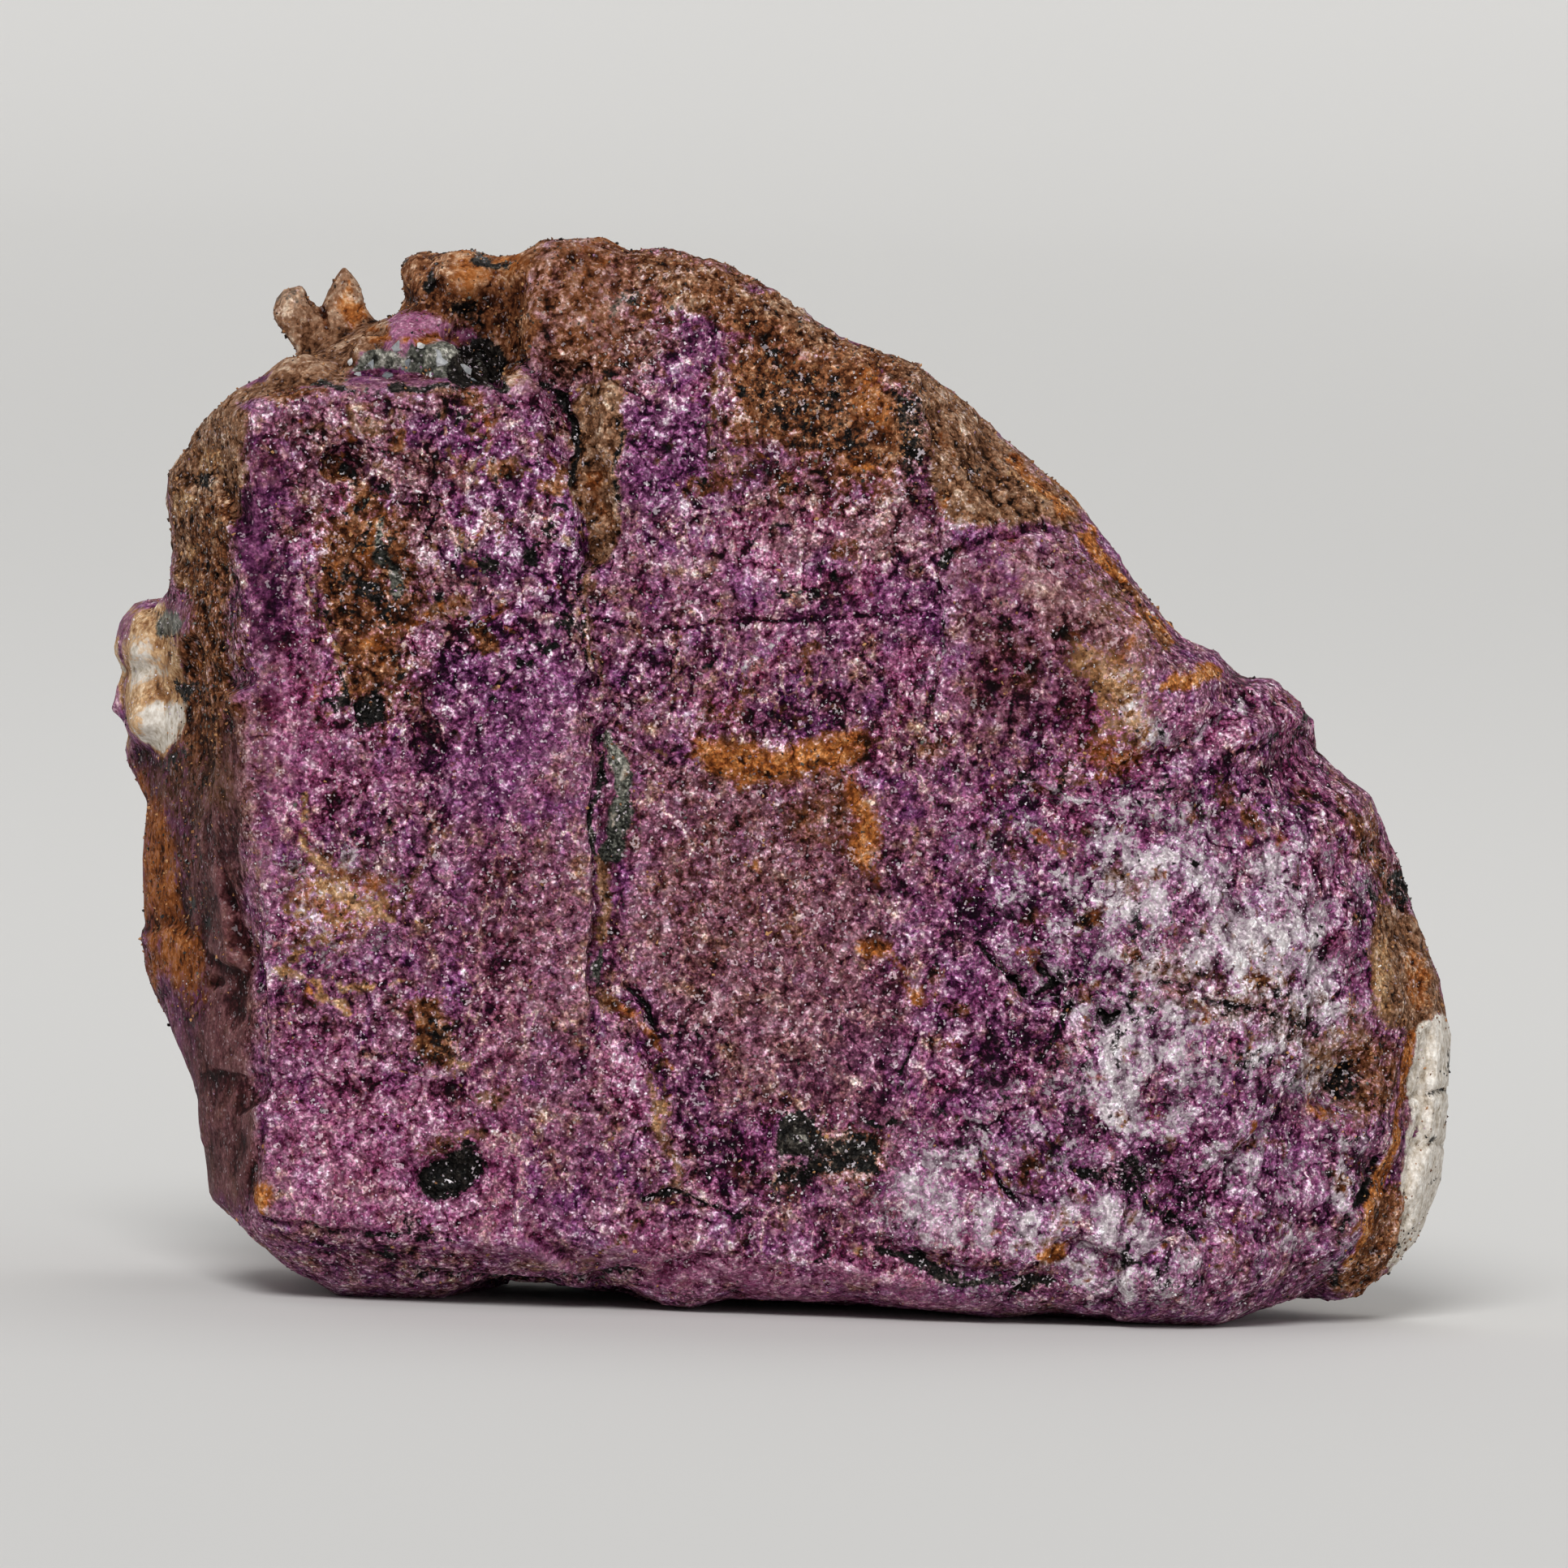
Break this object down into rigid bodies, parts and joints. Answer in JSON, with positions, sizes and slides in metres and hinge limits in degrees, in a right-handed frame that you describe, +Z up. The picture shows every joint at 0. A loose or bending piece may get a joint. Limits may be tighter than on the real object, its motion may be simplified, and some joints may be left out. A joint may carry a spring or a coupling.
{
  "type": "purpurite specimen",
  "caption": "Broken violet mineral hand specimen with a flat cleaved front, rusty and quartz-grown edges and a white rim, standing on its flat underside.",
  "frame": {"origin": "middle of the bounding box's underside, level with the flat underside that the stone stands on", "axes": "+X runs along the stone's long side, to the right as seen from its flat violet face. +Y runs from that face to the broken back. +Z is up, away from the surface that it stands on."},
  "size_m": [0.0678, 0.038, 0.0529],
  "materials": {
    "purpurite": null
  },
  "bodies": {
    "root": {"purpurite_specimen": "purpurite"}
  },
  "joints": []
}
